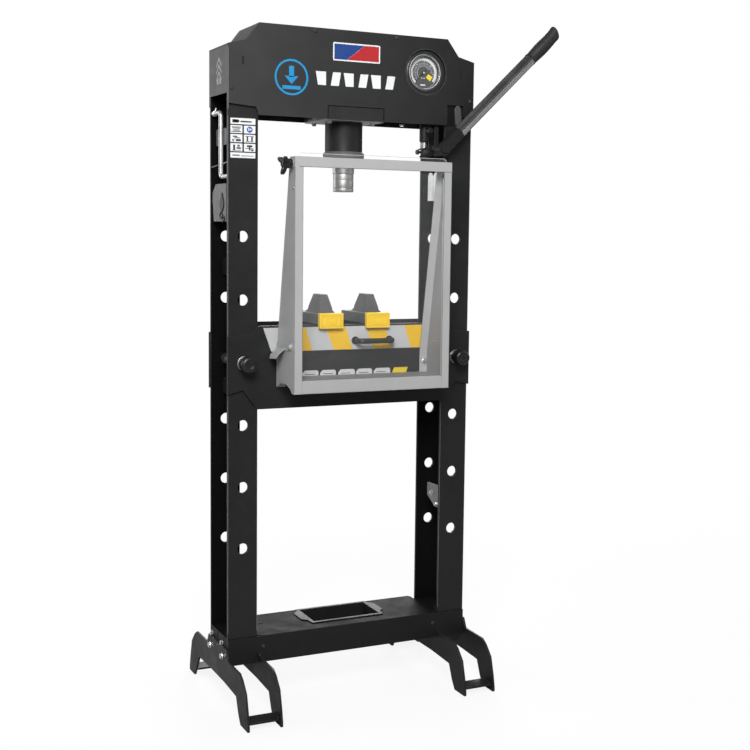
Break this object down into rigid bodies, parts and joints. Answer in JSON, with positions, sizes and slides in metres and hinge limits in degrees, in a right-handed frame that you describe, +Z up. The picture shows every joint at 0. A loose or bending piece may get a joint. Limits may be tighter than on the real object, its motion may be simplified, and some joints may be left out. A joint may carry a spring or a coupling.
{
  "type": "hydraulic shop press",
  "caption": "Floor-standing H-frame hydraulic shop press with a hand-pumped ram, a bed on withdrawable pins, sliding press blocks, a clear lift-up front guard and a gauge.",
  "frame": {"origin": "on the floor, under the middle of the overall width and depth with the pump handle included; the ram's axis stands 127.4 mm towards -X and 2 mm towards +Y from it", "axes": "+X to the operator's right, where the pump handle is; -Y is the front, where the guard is; +Z up, the way the press stands"},
  "size_m": [0.954, 0.504, 1.8019],
  "materials": {
    "frame_black": "satin black powder coat",
    "guard_grey": "satin light grey paint",
    "bright_steel": "ground and polished",
    "zinc_plate": "zinc plated, dull",
    "block_grey": "dark grey, cast and painted",
    "cap_yellow": "satin yellow",
    "grip_rubber": "matt black",
    "knob_plastic": "matt black",
    "clear_sheet": "clear sheet, faint haze",
    "dial_face": "matt dark dial",
    "lever_grey": "dark grey, ribbed tube"
  },
  "bodies": {
    "frame": {"left_post_front_plate": "frame_black", "left_post_rear_plate": "frame_black", "right_post_front_plate": "frame_black", "right_post_rear_plate": "frame_black", "left_post_upper_spacer": "frame_black", "left_post_lower_spacer": "frame_black", "right_post_upper_spacer": "frame_black", "right_post_bracket": "zinc_plate", "beam_front_plate": "frame_black", "beam_rear_plate": "frame_black", "beam_top_cover": "frame_black", "left_side_cover": "frame_black", "right_side_cover": "frame_black", "cylinder_mount_plate": "zinc_plate", "ram_cylinder": "frame_black", "base_channel": "frame_black", "left_outer_leg": "frame_black", "left_inner_leg": "frame_black", "right_inner_leg": "frame_black", "right_outer_leg": "frame_black", "left_front_foot_plate": "frame_black", "left_rear_foot_plate": "frame_black", "right_front_foot_plate": "frame_black", "right_rear_foot_plate": "frame_black", "bed_front_plate": "frame_black", "bed_rear_plate": "frame_black", "bed_left_spacer": "frame_black", "bed_right_spacer": "frame_black", "bed_handle": "knob_plastic", "guard_frame": "guard_grey", "gauge_case": "bright_steel", "gauge_dial": "dial_face", "gauge_lens": "clear_sheet", "pump_body": "frame_black", "pump_fulcrum_link": "frame_black", "oil_tank": "frame_black", "hydraulic_hose": "grip_rubber", "stored_bent_rod": "zinc_plate", "tool_bracket": "guard_grey", "right_post_hanger": "zinc_plate"},
    "ram": {"ram_piston": "bright_steel", "ram_nose": "bright_steel"},
    "handle": {"handle_socket": "frame_black", "handle_lever": "lever_grey", "handle_grip": "grip_rubber", "handle_pivot_pin": "bright_steel", "pump_rocker": "frame_black"},
    "plunger": {"pump_plunger": "bright_steel"},
    "release_valve": {"release_valve_knob": "knob_plastic"},
    "gauge_pointer": {"gauge_needle": "grip_rubber"},
    "left_pin": {"left_bed_pin": "knob_plastic"},
    "right_pin": {"right_bed_pin": "knob_plastic"},
    "left_block": {"left_press_block": "block_grey", "left_block_cap": "cap_yellow"},
    "right_block": {"right_press_block": "block_grey", "right_block_cap": "cap_yellow"},
    "window": {"guard_window": "clear_sheet"},
    "window_clamp": {"guard_knob": "knob_plastic"},
    "latch": {"guard_latch": "guard_grey"},
    "tray": {"parts_tray": "frame_black"}
  },
  "joints": [
    {"name": "ram_extend", "type": "slide", "parent": "frame", "child": "ram", "axis": [0, 0, -1], "range_m": [0, 0.15], "stiffness_N_per_m": 3000, "springref_m": -0.02},
    {"name": "handle_swing", "type": "hinge", "parent": "frame", "child": "handle", "pos_m": [0.1136, -0.102, 1.452], "axis": [0, 1, 0], "range_deg": [-30, 22], "stiffness_Nm_per_rad": 60, "springref_deg": -6.3},
    {"name": "pump_plunger_stroke", "type": "slide", "parent": "frame", "child": "plunger", "axis": [0, 0, 1], "range_m": [-0.016, 0.013]},
    {"name": "release_valve_turn", "type": "hinge", "parent": "frame", "child": "release_valve", "pos_m": [0.0886, -0.074, 1.503], "axis": [0, 1, 0], "range_deg": [-180, 180]},
    {"name": "gauge_needle_turn", "type": "hinge", "parent": "frame", "child": "gauge_pointer", "pos_m": [0.0731, -0.0658, 1.655], "axis": [0, 1, 0], "range_deg": [0, 270], "stiffness_Nm_per_rad": 0.001},
    {"name": "left_pin_pull", "type": "slide", "parent": "frame", "child": "left_pin", "axis": [0, -1, 0], "range_m": [0, 0.2], "stiffness_N_per_m": 60},
    {"name": "right_pin_pull", "type": "slide", "parent": "frame", "child": "right_pin", "axis": [0, -1, 0], "range_m": [0, 0.2], "stiffness_N_per_m": 60},
    {"name": "left_block_slide", "type": "slide", "parent": "frame", "child": "left_block", "axis": [-1, 0, 0], "range_m": [0, 0.08], "stiffness_N_per_m": 200},
    {"name": "right_block_slide", "type": "slide", "parent": "frame", "child": "right_block", "axis": [1, 0, 0], "range_m": [0, 0.08], "stiffness_N_per_m": 200},
    {"name": "window_lift", "type": "slide", "parent": "frame", "child": "window", "axis": [0, 0, 1], "range_m": [0, 0.2]},
    {"name": "window_clamp_turn", "type": "hinge", "parent": "frame", "child": "window_clamp", "pos_m": [-0.3674, -0.197, 1.395], "axis": [1, 0, 0], "continuous": true},
    {"name": "latch_turn", "type": "hinge", "parent": "frame", "child": "latch", "pos_m": [-0.3434, -0.1855, 0.945], "axis": [1, 0, 0], "range_deg": [0, 50]},
    {"name": "tray_lift", "type": "slide", "parent": "frame", "child": "tray", "axis": [0, 0, 1], "range_m": [0, 0.1]}
  ],
  "couplings": [
    {"joint": "pump_plunger_stroke", "follows": "handle_swing", "m_per_rad": 0.027}
  ]
}
